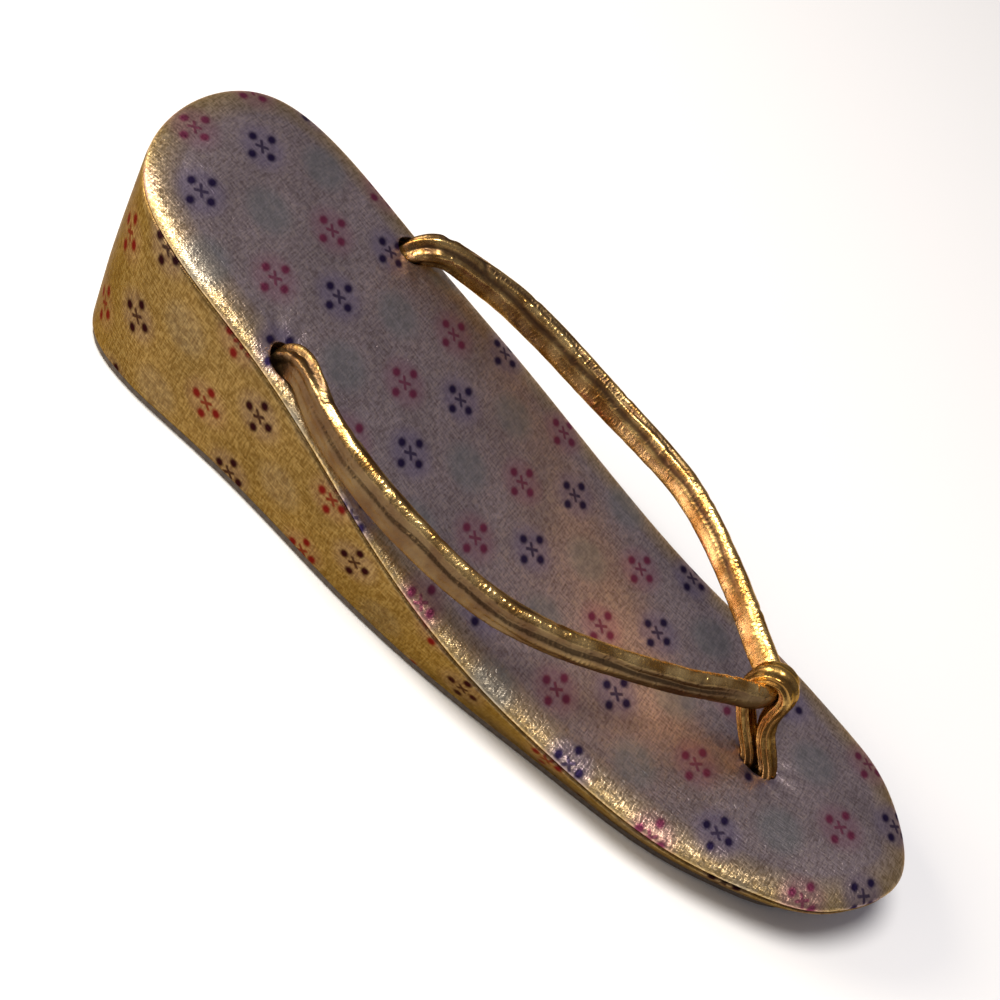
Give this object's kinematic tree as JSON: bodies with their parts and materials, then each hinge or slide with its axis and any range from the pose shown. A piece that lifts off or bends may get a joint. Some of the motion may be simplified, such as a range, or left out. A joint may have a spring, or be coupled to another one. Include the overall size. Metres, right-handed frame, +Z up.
{
  "type": "zori sandal",
  "caption": "Wedge zori sandal: padded brocade-covered sole with thin outsole, and two padded gold straps meeting at a looped front post.",
  "frame": {"origin": "on the floor, at the middle of the sandal's length and width", "axes": "+Y from heel to toe, +X to the wearer's right, +Z up"},
  "size_m": [0.0848, 0.2364, 0.055],
  "materials": {
    "outsole": "matt brown sheet",
    "sole_cover": "gold metallic brocade with small four-dot motifs",
    "top_cover": "gold metallic brocade with small four-dot motifs, padded",
    "strap_gold": "glossy metallic gold, fine creases",
    "post_gold": "glossy metallic gold, fine creases"
  },
  "bodies": {
    "root": {"outsole": "outsole", "wedge_sole": "sole_cover", "top_pad": "top_cover", "straps": "strap_gold", "front_post": "post_gold"}
  },
  "joints": []
}
